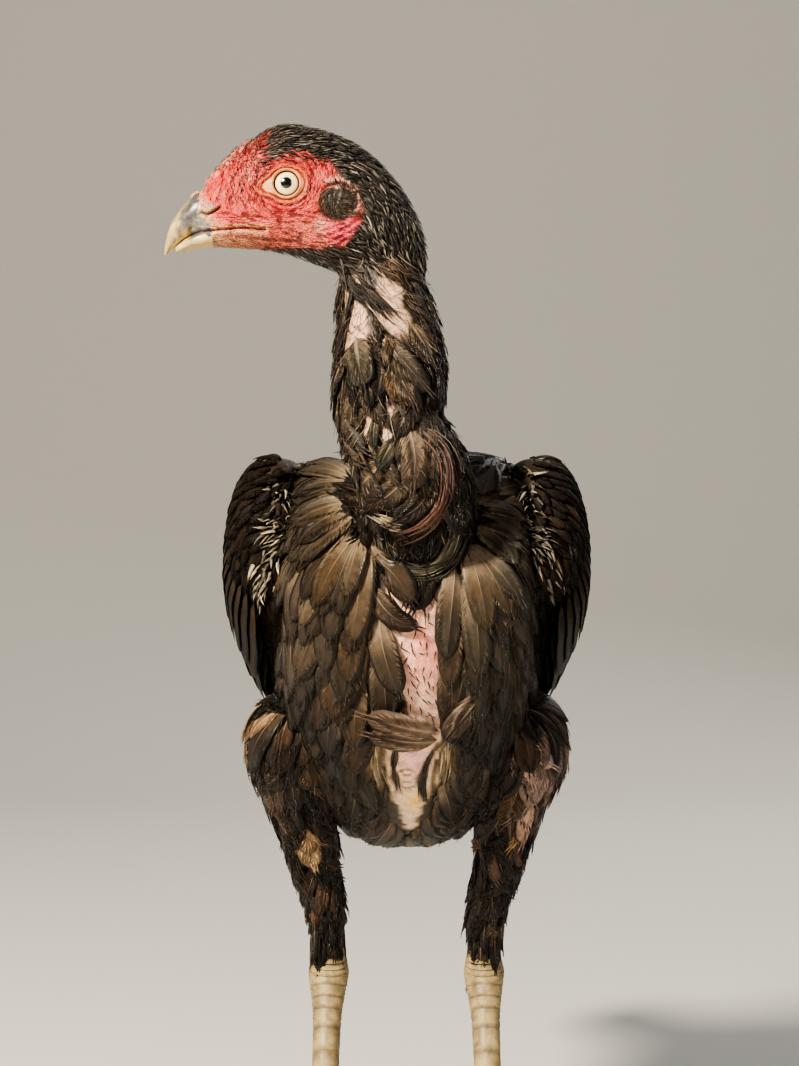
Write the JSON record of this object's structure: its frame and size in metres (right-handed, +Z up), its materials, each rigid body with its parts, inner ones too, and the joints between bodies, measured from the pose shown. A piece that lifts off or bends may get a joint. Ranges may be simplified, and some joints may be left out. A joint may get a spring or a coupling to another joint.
{
  "type": "aseel chicken model",
  "caption": "Still life-size model of a standing game fowl hen with folded wings and its head turned to one side.",
  "frame": {"origin": "on the floor, at the middle of the bird's bounding box", "axes": "+Z up; the bird stands facing -Y, its left side is at +X, and its bill points to -X"},
  "size_m": [0.1726, 0.3321, 0.4504],
  "materials": {
    "plumage": "dark brown-black feathers with a silky sheen",
    "breast": "brown feathers with pale shafts, bare pink skin along the keel",
    "face": "pebbled red skin with short dark bristles",
    "horn": "polished yellow and grey horn",
    "eye": "wet pearl-coloured eye",
    "scale": "dusky yellow leg scales"
  },
  "bodies": {
    "root": {"head": "face", "bill_upper": "horn", "bill_lower": "horn", "eye_left": "eye", "eye_right": "eye", "neck_upper": "plumage", "neck_lower": "plumage", "torso": "breast", "wing_left": "plumage", "wing_right": "plumage", "tail": "plumage", "thigh_left": "plumage", "thigh_right": "plumage", "shank_left": "scale", "shank_right": "scale", "foot_left": "scale", "foot_right": "scale", "claw_left_middle": "horn", "claw_left_inner": "horn", "claw_left_outer": "horn", "claw_left_hind": "horn", "claw_right_middle": "horn", "claw_right_inner": "horn", "claw_right_outer": "horn", "claw_right_hind": "horn"}
  },
  "joints": []
}
